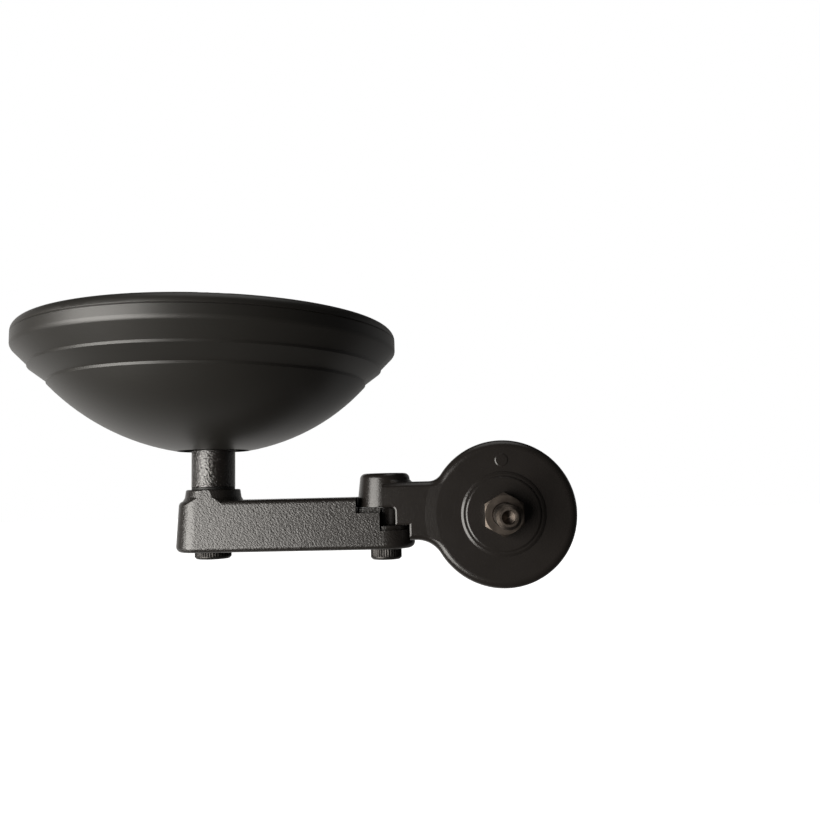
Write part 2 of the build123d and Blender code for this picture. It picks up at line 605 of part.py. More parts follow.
def make_arm():
    """One casting: a tapered bar with a collar for the stem and a stepped tongue for the pivot."""
    arm = arm_sides(ARM_TOP)
    arm = fillet(arm.edges().group_by(Axis.Z)[-1], ARM_TOP_EDGE_RADIUS)
    arm = fillet(arm.edges().group_by(Axis.Z)[0], ARM_BOTTOM_EDGE_RADIUS)
    collar_top = COLLAR_RADIUS - (COLLAR_HEIGHT - COLLAR_FOOT_RISE) * tan(radians(COLLAR_DRAFT))
    collar = turned_upright(
        STEM,
        (0, ARM_TOP - COLLAR_FOOT_DROP),
        (COLLAR_RADIUS + COLLAR_FOOT_WIDTH, ARM_TOP - COLLAR_FOOT_DROP),
        (COLLAR_RADIUS, ARM_TOP + COLLAR_FOOT_RISE, COLLAR_FOOT_RADIUS),
        (collar_top, COLLAR_TOP_Z, COLLAR_EDGE_RADIUS),
        (0, COLLAR_TOP_Z),
    )
    arm += collar & arm_sides(COLLAR_TOP_Z)

    far = ARM_REACH
    shoulder_x = PIVOT_X - ARM_SHOULDER_SETBACK
    step_x = PIVOT_X - ARM_STEP_SETBACK
    arm -= block((shoulder_x, MID_Y - far, ARM_LEDGE_Z), (far, MID_Y + far, far))
    arm -= pillar(PIVOT, LUG_RADIUS + SWING_CLEARANCE, ARM_LEDGE_Z, far)
    arm -= block((step_x, MID_Y - far, ARM_TONGUE_Z), (far, MID_Y + far, far))
    pocket_radius = HUB_RADIUS + SWING_CLEARANCE
    arm += block(
        (PIVOT_X - LEDGE_LAND_REACH, MID_Y - LEDGE_LAND_HALF_WIDTH, ARM_TONGUE_Z),
        (step_x, MID_Y + LEDGE_LAND_HALF_WIDTH, LUG_UNDERSIDE - SWING_CLEARANCE),
    )
    arm += ring(PIVOT, pocket_radius, TONGUE_LAND_RADIUS, ARM_TONGUE_Z, HUB_FOOT_Z - SWING_CLEARANCE)
    arm -= pillar(PIVOT, pocket_radius, ARM_TONGUE_Z, far)

    arm -= pillar(PIVOT, PIVOT_SCREW_RADIUS + RUNNING_FIT, -far, far)
    arm -= pillar(PIVOT, PIVOT_HEAD_RADIUS + LOOSE_FIT, -far, PIVOT_SEAT_Z)
    arm -= pillar(STEM, STEM_SCREW_RADIUS + RUNNING_FIT, -far, far)
    return arm - pillar(STEM, STEM_HEAD_RADIUS + LOOSE_FIT, -far, STEM_SEAT_Z)


def make_pivot_washer():
    """The washer between the arm's tongue and the lug's hub, which sets the lap joint's gap."""
    inner = PIVOT_SCREW_RADIUS + LOOSE_FIT
    return ring(PIVOT, inner, HUB_RADIUS, ARM_TONGUE_Z, HUB_FOOT_Z - AXIAL_PLAY)


# Stem and the pieces that turn with it

def make_ball_stem():
    """A turned stem with a ball at its top and a tapped foot."""
    neck_z = BALL_Z - sqrt(BALL_RADIUS**2 - BALL_NECK_RADIUS**2)
    flat_z = BALL_Z + BALL_RADIUS - BALL_FLAT
    flat_radius = sqrt(BALL_RADIUS**2 - (flat_z - BALL_Z) ** 2)
    shank = Polyline(
        (0, flat_z),
        (0, STEM_FOOT_Z),
        (STEM_RADIUS - STEM_FOOT_CHAMFER, STEM_FOOT_Z),
        (STEM_RADIUS, STEM_FOOT_Z + STEM_FOOT_CHAMFER),
        (STEM_RADIUS, HEAD_BOTTOM_Z),
        (BALL_NECK_RADIUS, neck_z),
    )
    ball = ThreePointArc((BALL_NECK_RADIUS, neck_z), (BALL_RADIUS, BALL_Z), (flat_radius, flat_z))
    top = Line((flat_radius, flat_z), (0, flat_z))
    stem = turned_profile(STEM, *shank.edges(), ball, top)
    thread_top = STEM_SCREW_END_Z + TAPPING_SPARE
    return stem - pillar(STEM, STEM_SCREW_RADIUS + THREAD_FIT, STEM_FOOT_Z, thread_top)


def make_stem_washer():
    """A thin washer between the stem's foot and the arm's collar."""
    inner = STEM_SCREW_RADIUS + LOOSE_FIT
    return ring(STEM, inner, STEM_RADIUS - STEM_WASHER_SETBACK, STEM_WASHER_Z, STEM_FOOT_Z)


def make_stem_screw():
    """The screw that holds the stem on the arm, threaded into the stem's foot."""
    return cap_screw(
        STEM,
        STEM_HEAD_Z,
        STEM_SCREW_END_Z,
        STEM_SCREW_RADIUS,
        STEM_HEAD_RADIUS,
        STEM_HEAD_HEIGHT,
        STEM_KEY_FLATS,
        STEM_KEY_DEPTH,
    )


def make_stem_spring_washer():
    """A cone washer that keeps the stem screw's grip even."""
    inner = STEM_SCREW_RADIUS + RUNNING_FIT
    outer = STEM_HEAD_RADIUS
    return cone_washer(STEM, inner, outer, STEM_HEAD_Z, STEM_SPRING_THICKNESS, SPRING_WASHER_RISE)


# Ball joint

def make_ball_liner():
    """A slit plastic liner that snaps over the ball."""
    low, high = LINER_OPENING_ANGLE, LINER_TOP_ANGLE
    inner, outer = LINER_INNER_RADIUS, LINER_OUTER_RADIUS
    liner = turned_profile(
        STEM,
        ball_arc(inner, low, high),
        Line(ball_point(inner, high), ball_point(outer, high)),
        ball_arc(outer, low, high),
        Line(ball_point(outer, low), ball_point(inner, low)),
    )
    half_slit = LINER_SLIT / 2
    reach = 2 * outer
    slit_low = (STEM_X, MID_Y - half_slit, BALL_Z - reach)
    slit_high = (STEM_X + reach, MID_Y + half_slit, BALL_Z + reach)
    return liner - block(slit_low, slit_high)


def make_ball_seat():
    """The lower socket, which stands in the housing's tower and carries the liner."""
    parting_z = BALL_Z - CLAMP_PARTING
    parting_angle = degrees(acos(CLAMP_PARTING / SOCKET_RADIUS))
    mouth_radius = (BALL_Z - SEAT_FLOOR_Z) * tan(radians(SEAT_MOUTH_ANGLE))
    socket = ball_arc(SOCKET_RADIUS, SEAT_OPENING_ANGLE, parting_angle)
    sides = Polyline(
        socket @ 1,
        (SEAT_RADIUS, parting_z),
        (SEAT_RADIUS, SEAT_FLOOR_Z),
        (mouth_radius, SEAT_FLOOR_Z),
        socket @ 0,
    )
    return turned_profile(STEM, socket, *sides.edges())


def make_ball_clamp():
    """The upper socket, pressed down on the liner by the disc spring."""
    low = BALL_Z + CLAMP_PARTING
    cup = pillar(STEM, CLAMP_RADIUS, low, CLAMP_TOP_Z)
    cup += pillar(STEM, CLAMP_NOSE_RADIUS, CLAMP_TOP_Z - CLAMP_CROWN / 2, CLAMP_TOP_Z + CLAMP_NOSE_HEIGHT)
    return cup - Pos(STEM_X, MID_Y, BALL_Z) * Sphere(SOCKET_RADIUS)


def make_disc_spring():
    """A cone spring round the clamp's nose, under the retainer plate."""
    inner = CLAMP_NOSE_RADIUS + LOOSE_FIT
    return cone_washer(STEM, inner, SPRING_RADIUS, CLAMP_TOP_Z, SPRING_THICKNESS, SPRING_RISE)


def post_places():
    """The places of the housing's posts, at equal angles about the stem's axis."""
    turns = [radians(90 + index * 360 / POST_COUNT) for index in range(POST_COUNT)]
    return [(STEM_X + POST_CIRCLE_RADIUS * cos(t), MID_Y + POST_CIRCLE_RADIUS * sin(t), 0) for t in turns]


def make_retainer_plate():
    """A pressed plate that holds the spring down on the clamp."""
    plate = ring(STEM, RETAINER_EYE_RADIUS, RETAINER_RADIUS, RETAINER_Z, RETAINER_TOP_Z)
    for place in post_places():
        plate -= pillar(place, RETAINER_SCREW_RADIUS + LOOSE_FIT, RETAINER_Z, RETAINER_TOP_Z)
    return plate


def make_retainer_screws():
    """Pan head screws that hold the retainer plate on the housing's posts."""
    screws = []
    for place in post_places():
        screw = turned_upright(
            place,
            (0, RETAINER_TOP_Z - RETAINER_SCREW_LENGTH),
            (RETAINER_SCREW_RADIUS, RETAINER_TOP_Z - RETAINER_SCREW_LENGTH),
            (RETAINER_SCREW_RADIUS, RETAINER_TOP_Z),
            (RETAINER_HEAD_RADIUS, RETAINER_TOP_Z),
            (RETAINER_HEAD_RADIUS, RETAINER_HEAD_TOP_Z, RETAINER_HEAD_HEIGHT / 2),
            (0, RETAINER_HEAD_TOP_Z),
        )
        key = Pos(place[0], place[1], RETAINER_HEAD_TOP_Z - RETAINER_KEY_DEPTH)
        screws.append(screw - key * hex_prism(RETAINER_KEY_FLATS, RETAINER_KEY_DEPTH))
    return Compound(children=screws)


# Mirror head

def bowl_arc(radius, reach):
    """An arc about the bowl's centre, from straight down to where it reaches a radius."""
    return CenterArc((0, BOWL_CENTRE_Z), radius, -90, degrees(asin(reach / radius)))


def make_mirror_housing():
    """The moulded bowl, with a tower for the ball seat and posts for the retainer inside."""
    bowl_foot_z = BOWL_CENTRE_Z - BOWL_RADIUS
    bowl = bowl_arc(BOWL_RADIUS, LOWER_STEP_RADIUS)
    shoulders = FilletPolyline(
        bowl @ 1,
        (LOWER_STEP_RADIUS, LOWER_BAND_Z),
        (UPPER_STEP_RADIUS, UPPER_STEP_Z),
        (UPPER_STEP_RADIUS, UPPER_BAND_Z),
        (RIM_RADIUS, RIM_EDGE_Z),
        (RIM_RADIUS, SEAM_Z - SEAM_CHAMFER),
        (RIM_RADIUS - SEAM_CHAMFER, SEAM_Z),
        (0, SEAM_Z),
        bowl @ 0,
        radius=[0, 0, 0, RIM_EDGE_RADIUS, 0, 0, 0],
    )
    housing = turned_profile(STEM, bowl, *shoulders.edges())

    cavity_arc = bowl_arc(BOWL_RADIUS - BOWL_WALL, LEDGE_RADIUS)
    cavity_sides = Polyline(
        cavity_arc @ 1,
        (LEDGE_RADIUS, LEDGE_Z),
        (RIM_INNER_RADIUS, LEDGE_Z),
        (RIM_INNER_RADIUS, SEAM_Z),
        (0, SEAM_Z),
        cavity_arc @ 0,
    )
    cavity = turned_profile(STEM, cavity_arc, *cavity_sides.edges())
    cavity -= pillar(STEM, POCKET_RADIUS + TOWER_WALL, bowl_foot_z, BALL_Z + TOWER_RISE)
    for place in post_places():
        cavity -= pillar(place, POST_RADIUS, bowl_foot_z, RETAINER_Z)
    housing -= cavity

    housing -= pillar(STEM, POCKET_RADIUS, SEAT_FLOOR_Z, RETAINER_Z)
    housing -= pillar(STEM, STEM_HOLE_RADIUS, bowl_foot_z, RETAINER_Z)
    pilot_foot = RETAINER_TOP_Z - RETAINER_SCREW_LENGTH - TAPPING_SPARE
    for place in post_places():
        housing -= pillar(place, RETAINER_SCREW_RADIUS + THREAD_FIT, pilot_foot, RETAINER_Z)
    return housing


def make_backing_plate():
    """A flat plate on the housing's ledge, behind the glass."""
    return pillar(STEM, RIM_INNER_RADIUS - LOOSE_FIT, LEDGE_Z, PLATE_TOP_Z)


def make_adhesive_pad():
    """A foam pad that fills the space under the bent glass."""
    edge_z = GLASS_BACK_Z - glass_sag(PAD_RADIUS)
    half = PAD_RADIUS / 2
    top = ThreePointArc((PAD_RADIUS, edge_z), (half, GLASS_BACK_Z - glass_sag(half)), (0, GLASS_BACK_Z))
    sides = Polyline((0, GLASS_BACK_Z), (0, PLATE_TOP_Z), (PAD_RADIUS, PLATE_TOP_Z), (PAD_RADIUS, edge_z))
    return turned_profile(STEM, top, *sides.edges())


def make_mirror_glass():
    """The slightly convex glass, bent to one radius."""
    half = GLASS_RADIUS / 2
    edge = glass_sag(GLASS_RADIUS)
    front = ThreePointArc(
        (0, GLASS_CROWN_Z), (half, GLASS_CROWN_Z - glass_sag(half)), (GLASS_RADIUS, GLASS_CROWN_Z - edge)
    )
    back = ThreePointArc(
        (0, GLASS_BACK_Z), (half, GLASS_BACK_Z - glass_sag(half)), (GLASS_RADIUS, GLASS_BACK_Z - edge)
    )
    return turned_profile(STEM, front, Line(front @ 1, back @ 1), back, Line(back @ 0, front @ 0))


def make_bezel_ring():
    """The rounded ring on the rim, with a lip over the glass and a skirt inside the housing."""
    edge_radius = min(BEZEL_EDGE_RADIUS, BEZEL_HEIGHT - SEAM_CHAMFER - TOLERANCE)
    return turned_upright(
        STEM,
        (SKIRT_INNER_RADIUS, SEAM_Z - BEZEL_SKIRT),
        (SKIRT_OUTER_RADIUS, SEAM_Z - BEZEL_SKIRT),
        (SKIRT_OUTER_RADIUS, SEAM_Z),
        (RIM_RADIUS - SEAM_CHAMFER, SEAM_Z),
        (RIM_RADIUS, SEAM_Z + SEAM_CHAMFER),
        (RIM_RADIUS, BEZEL_TOP_Z, edge_radius),
        (BEZEL_LIP_RADIUS, BEZEL_TOP_Z, BEZEL_LIP_EDGE_RADIUS),
        (BEZEL_LIP_RADIUS, BEZEL_LIP_Z),
        (SKIRT_INNER_RADIUS, BEZEL_LIP_Z),
    )


os.makedirs("parts", exist_ok=True)
PIECES = {
    "mounting_stud": make_mounting_stud,
    "lock_nut": make_lock_nut,
    "head_washer": make_head_washer,
    "bar_end_body": make_bar_end_body,
    "end_cap": make_end_cap,
    "cap_o_ring": make_cap_o_ring,
    "pivot_screw": make_pivot_screw,
    "pivot_spring_washer": make_pivot_spring_washer,
    "arm": make_arm,
    "pivot_washer": make_pivot_washer,
    "ball_stem": make_ball_stem,
    "stem_washer": make_stem_washer,
    "stem_screw": make_stem_screw,
    "stem_spring_washer": make_stem_spring_washer,
    "ball_liner": make_ball_liner,
    "ball_seat": make_ball_seat,
    "ball_clamp": make_ball_clamp,
    "disc_spring": make_disc_spring,
    "retainer_plate": make_retainer_plate,
    "retainer_screws": make_retainer_screws,
    "mirror_housing": make_mirror_housing,
    "backing_plate": make_backing_plate,
    "adhesive_pad": make_adhesive_pad,
    "mirror_glass": make_mirror_glass,
    "bezel_ring": make_bezel_ring,
}
for name, make in PIECES.items():
    export_step(make(), f"parts/{name}.step")
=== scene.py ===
from math import cos, pi, radians, sin, sqrt, tau

import bpy
from mathutils import Matrix, Vector


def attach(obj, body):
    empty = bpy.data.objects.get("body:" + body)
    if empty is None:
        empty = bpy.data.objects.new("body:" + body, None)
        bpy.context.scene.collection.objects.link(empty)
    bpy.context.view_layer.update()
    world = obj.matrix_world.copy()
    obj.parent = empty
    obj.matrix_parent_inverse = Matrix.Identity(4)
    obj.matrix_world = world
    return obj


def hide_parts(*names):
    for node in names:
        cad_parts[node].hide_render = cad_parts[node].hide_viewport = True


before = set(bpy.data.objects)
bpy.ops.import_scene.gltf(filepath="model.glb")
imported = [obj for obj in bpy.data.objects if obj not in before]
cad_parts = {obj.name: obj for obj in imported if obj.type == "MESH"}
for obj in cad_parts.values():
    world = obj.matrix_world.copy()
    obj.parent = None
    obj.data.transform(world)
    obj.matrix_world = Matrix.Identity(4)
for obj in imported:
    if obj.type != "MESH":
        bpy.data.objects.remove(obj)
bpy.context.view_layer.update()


# Mounting stud: the M6 stud that clamps the mirror to the handlebar's end.
# Steel, turned with a rolled thread, a drilled tip and a hexagon socket in its
# head, then zinc plated. Its head sits inside the disc.
MM = 0.001
STUD_AXIS = Vector((0, 1, 0))
STUD_TIP_Y = -17.0
STUD_TIP_RADIUS = 2.2
STUD_DRILL_RADIUS = 1.6
STUD_DRILL_Y = -14.5
STUD_DRILL_POINT_Y = -13.7
STUD_CREST = 3.0
STUD_ROOT_DEPTH = 0.55
STUD_PITCH = 1.0
STUD_IN_NUT = 2.675
STUD_NUT_END_Y = 5.0
STUD_HEAD_Y = 14.3
STUD_HEAD_END_Y = 20.3
STUD_HEAD_RADIUS = 5.0
STUD_HEAD_CHAMFER = 0.5
STUD_KEY_FLATS = 5.0
STUD_KEY_DEPTH = 3.0
STUD_SIDES = 96
THREAD_ROWS = 16
EDGE_BREAK = 0.15
NEEDLE = 0.02
SHARP_EDGE = radians(38)


def thread(crest, depth, pitch):
    """The radius of a right-hand thread with rounded crests and roots."""
    def radius(height, turn):
        wave = 0.5 + 0.5 * cos(tau * (height / pitch - turn / tau))
        return crest - depth * (1 - wave)
    return radius


def hexagon(flats):
    """The radius of a hexagon across its flats, by the angle round it."""
    def radius(height, turn):
        return flats / 2 / cos(turn % (pi / 3) - pi / 6)
    return radius


def climb(start, end, pitch, radius):
    """Rows close enough together to carry a thread from start to end."""
    count = round((end - start) / pitch * THREAD_ROWS)
    return [(start + (end - start) * step / count, radius) for step in range(count + 1)]


def turned(name, zero, along, rows, sides, hollow=False):
    """A turned piece: rows of height and radius, from end to end or round a hollow piece's section."""
    side = along.orthogonal().normalized()
    third = along.cross(side)
    points = []
    for height, radius in rows:
        for step in range(sides):
            turn = tau * step / sides
            reach = radius(height, turn) if callable(radius) else radius
            out = side * cos(turn) + third * sin(turn)
            points.append((zero + along * height + out * reach) * MM)
    count = len(points)
    faces = []
    for row in range(len(rows) if hollow else len(rows) - 1):
        for step in range(sides):
            here = row * sides + step
            beside = row * sides + (step + 1) % sides
            faces.append((here, beside, (beside + sides) % count, (here + sides) % count))
    if not hollow:
        faces += [tuple(reversed(range(sides))), tuple(range(count - sides, count))]
    mesh = bpy.data.meshes.new(name)
    mesh.from_pydata(points, [], faces)
    mesh.shade_smooth()
    mesh.set_sharp_from_angle(angle=SHARP_EDGE)
    piece = bpy.data.objects.new(name, mesh)
    bpy.context.scene.collection.objects.link(piece)
    return piece


def stud_thread(height, turn):
    """The stud's thread, cut back by the chamfer at its tip."""
    cone = STUD_TIP_RADIUS + height - STUD_TIP_Y
    return min(thread(STUD_CREST, STUD_ROOT_DEPTH, STUD_PITCH)(height, turn), cone)


class Tone:
    """A value that varies over a surface: maths on it adds nodes to its finish."""

    def __init__(self, tree, socket=None):
        self.tree = tree
        self.socket = socket

    def node(self, kind, settings=None, sockets=None, out=0):
        """Adds a node, with its settings and its sockets' values or links, and gives one of its outputs."""
        made = self.tree.nodes.new("ShaderNode" + kind)
        for name, value in (settings or {}).items():
            setattr(made, name, value)
        for name, value in (sockets or {}).items():
            if isinstance(value, Tone):
                self.tree.links.new(value.socket, made.inputs[name])
            else:
                made.inputs[name].default_value = value
        return Tone(self.tree, made.outputs[out] if made.outputs else None)

    def maths(self, operation, first, second):
        return self.node("Math", {"operation": operation}, {0: first, 1: second})

    def __add__(self, other):
        return self.maths("ADD", self, other)

    __radd__ = __add__

    def __rsub__(self, other):
        return self.maths("SUBTRACT", other, self)

    def __mul__(self, other):
        return self.maths("MULTIPLY", self, other)

    __rmul__ = __mul__

    def ramp(self, start, end):
        """A soft climb from 0 where this is start to 1 where it is end."""
        return self.node("MapRange", {"interpolation_type": "SMOOTHSTEP"}, {
            "Value": self, "From Min": start, "From Max": end,
        })

    def between(self, low, high):
        """The colour that lies this far from low to high."""
        return self.node("Mix", {"data_type": "RGBA"}, {0: self, 6: (*low, 1), 7: (*high, 1)}, 2)


def new_finish(name):
    """An empty finish and the place on the piece, in metres, that its grain is laid by."""
    finish = bpy.data.materials.new(name)
    finish.use_nodes = True
    finish.node_tree.nodes.clear()
    return finish, Tone(finish.node_tree).node("TexCoord", out="Object")


def mottle(place, size, detail=2.0):
    """A soft uneven pattern, from 0 to 1, with spots about this many mm across."""
    return place.node("TexNoise", None, {"Vector": place, "Scale": 1 / (size * MM), "Detail": detail})


def relief(height, depth):
    """The normal of a surface whose grain is this many mm deep."""
    return height.node("Bump", None, {"Strength": 1.0, "Distance": depth * MM, "Height": height}, "Normal")


def lay(place, sockets):
    """Gives a finish its surface."""
    place.node("OutputMaterial", None, {"Surface": place.node("BsdfPrincipled", None, sockets)})


def mottled(name, dark, pale, spots, detail, smooth, rougher, pits, depth, pit_detail=2.0, even=None):
    """A finish whose colour and sheen drift in spots, over fine pits. Spots, pits and depth are in mm."""
    finish, place = new_finish(name)
    drift = mottle(place, spots, detail)
    lay(place, {
        "Base Color": drift.between(dark, pale),
        "Roughness": smooth + rougher * drift,
        "Normal": relief(mottle(place, pits, pit_detail), depth),
        **(even or {}),
    })
    return finish


def dress(finish, *names):
    """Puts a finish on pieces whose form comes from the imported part."""
    for name in names:
        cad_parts[name].material_slots[0].material = finish


zinc_plate = mottled(
    "zinc_plate", dark=(0.044, 0.036, 0.030), pale=(0.115, 0.097, 0.083), spots=2.5, detail=3.0,
    smooth=0.34, rougher=0.18, pits=0.12, depth=0.012, even={"Metallic": 1.0},
)
mounting_stud = turned(
    "mounting_stud_threaded", Vector(), STUD_AXIS,
    [
        (STUD_DRILL_POINT_Y, NEEDLE),
        (STUD_DRILL_Y, STUD_DRILL_RADIUS),
        (STUD_TIP_Y + EDGE_BREAK, STUD_DRILL_RADIUS),
        (STUD_TIP_Y, STUD_DRILL_RADIUS + EDGE_BREAK),
        *climb(STUD_TIP_Y, 0, STUD_PITCH, stud_thread),
        (0, STUD_IN_NUT),
        (STUD_NUT_END_Y, STUD_IN_NUT),
        (STUD_NUT_END_Y, STUD_CREST),
        (STUD_HEAD_Y, STUD_CREST),
        (STUD_HEAD_Y, STUD_HEAD_RADIUS),
        (STUD_HEAD_END_Y - STUD_HEAD_CHAMFER, STUD_HEAD_RADIUS),
        (STUD_HEAD_END_Y, STUD_HEAD_RADIUS - STUD_HEAD_CHAMFER),
        (STUD_HEAD_END_Y, STUD_KEY_FLATS / sqrt(3) + EDGE_BREAK),
        (STUD_HEAD_END_Y - EDGE_BREAK, hexagon(STUD_KEY_FLATS)),
        (STUD_HEAD_END_Y - STUD_KEY_DEPTH, hexagon(STUD_KEY_FLATS)),
        (STUD_HEAD_END_Y - STUD_KEY_DEPTH, NEEDLE),
    ],
    STUD_SIDES,
)
mounting_stud.data.materials.append(zinc_plate)
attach(mounting_stud, "bar_stud")
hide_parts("mounting_stud")


# Lock nut and head washer: they clamp the stud to the disc from both sides.
# Steel, zinc plated with the stud: a hexagon nut chamfered on both faces and a
# flat washer stamped from strip.
dress(zinc_plate, "lock_nut", "head_washer")


# Bar end body: the disc that covers the bar's end, with its neck, lug and boss.
# Aluminium, die cast in one piece and powder coated black. The coat dries into
# a fine leathery grain.
GRAIN_LENGTH = 1.0
GRAIN_WIDTH = 0.55
GRAIN_LEAN = radians(35)
WRINKLE_DETAIL = 2.0
WRINKLE_CURL = 0.6
WRINKLE_SHARE = 0.65
WRINKLE_DULLING = 0.12
PEBBLE_SOFTNESS = 0.5
PEBBLE_SHARE = 0.35
COAT_SPOTS = 6.0
COAT_DARK = (0.0085, 0.0072, 0.0064)
COAT_PALE = (0.0125, 0.0108, 0.0098)


def powder_coat(name, grain, depth, roughness, gloss):
    """A black powder coat whose wrinkles lean across the piece. Grain and depth are in mm."""
    finish, place = new_finish(name)
    length = grain * GRAIN_LENGTH * MM
    width = grain * GRAIN_WIDTH * MM
    leaning = place.node("Mapping", {"vector_type": "TEXTURE"}, {
        "Vector": place, "Rotation": (0, GRAIN_LEAN, 0), "Scale": (length, width, width),
    })
    wrinkles = leaning.node("TexNoise", None, {
        "Vector": leaning, "Scale": 1.0, "Detail": WRINKLE_DETAIL, "Distortion": WRINKLE_CURL,
    })
    pebbles = leaning.node("TexVoronoi", {"feature": "SMOOTH_F1"}, {
        "Vector": leaning, "Scale": 1.0, "Smoothness": PEBBLE_SOFTNESS,
    })
    height = WRINKLE_SHARE * wrinkles + PEBBLE_SHARE * (1 - pebbles)
    lay(place, {
        "Base Color": mottle(place, COAT_SPOTS).between(COAT_DARK, COAT_PALE),
        "Roughness": roughness + WRINKLE_DULLING * wrinkles,
        "Specular IOR Level": gloss,
        "Normal": relief(height, depth),
    })
    return finish


body_coat = powder_coat("body_coat", grain=0.42, depth=0.035, roughness=0.18, gloss=0.42)
dress(body_coat, "bar_end_body")


# End cap and its ring: the domed cap that closes the disc's outboard side.
# The cap is moulded in glossy black plastic and is held in the disc by a black
# rubber ring.
cap_gloss = mottled(
    "cap_gloss", dark=(0.006, 0.006, 0.0062), pale=(0.011, 0.011, 0.0112), spots=9.0, detail=4.0,
    smooth=0.06, rougher=0.05, pits=3.0, depth=0.004, pit_detail=1.0,
    even={"Coat Weight": 0.6, "Coat Roughness": 0.03},
)
ring_rubber = mottled(
    "ring_rubber", dark=(0.012, 0.012, 0.012), pale=(0.024, 0.023, 0.022), spots=0.8, detail=3.0,
    smooth=0.62, rougher=0.2, pits=0.2, depth=0.02,
)
dress(cap_gloss, "end_cap")
dress(ring_rubber, "cap_o_ring")


# Arm: the straight arm from the disc's lug to the stem, with a collar on top.
# Aluminium, die cast with drafted sides and powder coated black. Its coat is
# coarser and shinier than the disc's.
arm_coat = powder_coat("arm_coat", grain=0.65, depth=0.12, roughness=0.26, gloss=0.62)
dress(arm_coat, "arm")


# Pivot screw and its washers: they clamp the lap joint between arm and lug.
# The screw is hardened steel, blackened, with a straight knurl round its head.
# A spring washer sits under the head and a nylon washer in the lap.
UP = Vector((0, 0, 1))
KNURL_DEPTH = 0.2
KNURL_POINTS = 6
KNURL_MARGIN = 0.75
SCREW_CHAMFER = 0.5
PIVOT_X = -32.0
MIDDLE_Y = 14.15

black_oxide = mottled(
    "black_oxide", dark=(0.018, 0.017, 0.0165), pale=(0.045, 0.042, 0.040), spots=0.9, detail=3.0,
    smooth=0.30, rougher=0.18, pits=0.1, depth=0.01, even={"Metallic": 0.75},
)


def knurl(radius, ridges):
    """The radius of a straight knurl with this many ridges."""
    def reach(height, turn):
        return radius - KNURL_DEPTH * (0.5 - 0.5 * cos(ridges * turn))
    return reach


def cap_screw(
    name, axis_x, head_z, end_z, radius, pitch, head_radius, head_height, key_flats, key_depth, ridges,
):
    """A knurled socket head screw that points up, with its head below head_z."""
    foot_z = head_z - head_height
    key = hexagon(key_flats)
    ridged = knurl(head_radius, ridges)
    rows = [
        (foot_z + key_depth, NEEDLE),
        (foot_z + key_depth, key),
        (foot_z + EDGE_BREAK, key),
        (foot_z, key_flats / sqrt(3) + EDGE_BREAK),
        (foot_z, head_radius - SCREW_CHAMFER),
        (foot_z + SCREW_CHAMFER, head_radius),
        (foot_z + KNURL_MARGIN, head_radius),
        (foot_z + KNURL_MARGIN + EDGE_BREAK, ridged),
        (head_z - KNURL_MARGIN, ridged),
        (head_z - KNURL_MARGIN + EDGE_BREAK, head_radius),
        (head_z - EDGE_BREAK, head_radius),
        (head_z, head_radius - EDGE_BREAK),
        (head_z, radius),
        *climb(head_z, end_z - SCREW_CHAMFER, pitch, thread(radius, pitch / 2, pitch)),
        (end_z, radius - SCREW_CHAMFER - pitch / 2),
    ]
    screw = turned(name, Vector((axis_x, MIDDLE_Y, 0)), UP, rows, ridges * KNURL_POINTS)
    screw.data.materials.append(black_oxide)
    return screw


pivot_screw = cap_screw(
    "pivot_screw_knurled", PIVOT_X, head_z=-6.8, end_z=7.2, radius=2.5, pitch=0.8,
    head_radius=4.25, head_height=5.0, key_flats=4.0, key_depth=2.5, ridges=36,
)
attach(pivot_screw, "bar_end")
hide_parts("pivot_screw")

spring_temper = mottled(
    "spring_temper", dark=(0.16, 0.15, 0.15), pale=(0.34, 0.31, 0.28), spots=1.6, detail=3.0,
    smooth=0.28, rougher=0.15, pits=0.15, depth=0.01, even={"Metallic": 1.0},
)
nylon_black = mottled(
    "nylon_black", dark=(0.006, 0.006, 0.006), pale=(0.012, 0.012, 0.012), spots=1.2, detail=3.0,
    smooth=0.5, rougher=0.15, pits=0.15, depth=0.01,
)
dress(spring_temper, "pivot_spring_washer")
dress(nylon_black, "pivot_washer")


# Ball stem with its screw and washers: it stands on the arm's collar and carries the mirror.
# The stem is turned steel with a ball on top, coated black with a lumpy grain.
# The screw clamps it through the arm from below, with a nylon washer under its foot.
STEM_X = -80.6
WASHER_LOW_Z = 8.302
WASHER_HIGH_Z = 8.85
WASHER_INNER = 3.3
WASHER_OUTER = 5.95
WASHER_BEVEL = 0.04
WASHER_SIDES = 96

stem_coat = powder_coat("stem_coat", grain=0.7, depth=0.30, roughness=0.14, gloss=0.8)
dress(stem_coat, "ball_stem")
dress(spring_temper, "stem_spring_washer")

stem_screw = cap_screw(
    "stem_screw_knurled", STEM_X, head_z=-4.8, end_z=15.2, radius=3.0, pitch=1.0,
    head_radius=5.0, head_height=6.0, key_flats=5.0, key_depth=3.0, ridges=40,
)
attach(stem_screw, "stem")
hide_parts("stem_screw")

stem_washer = turned(
    "stem_washer_seated", Vector((STEM_X, MIDDLE_Y, 0)), UP,
    [
        (WASHER_LOW_Z, WASHER_INNER),
        (WASHER_LOW_Z, WASHER_OUTER - WASHER_BEVEL),
        (WASHER_LOW_Z + WASHER_BEVEL, WASHER_OUTER),
        (WASHER_HIGH_Z - WASHER_BEVEL, WASHER_OUTER),
        (WASHER_HIGH_Z, WASHER_OUTER - WASHER_BEVEL),
        (WASHER_HIGH_Z, WASHER_INNER),
    ],
    WASHER_SIDES, hollow=True,
)
stem_washer.data.materials.append(nylon_black)
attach(stem_washer, "stem")
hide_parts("stem_washer")


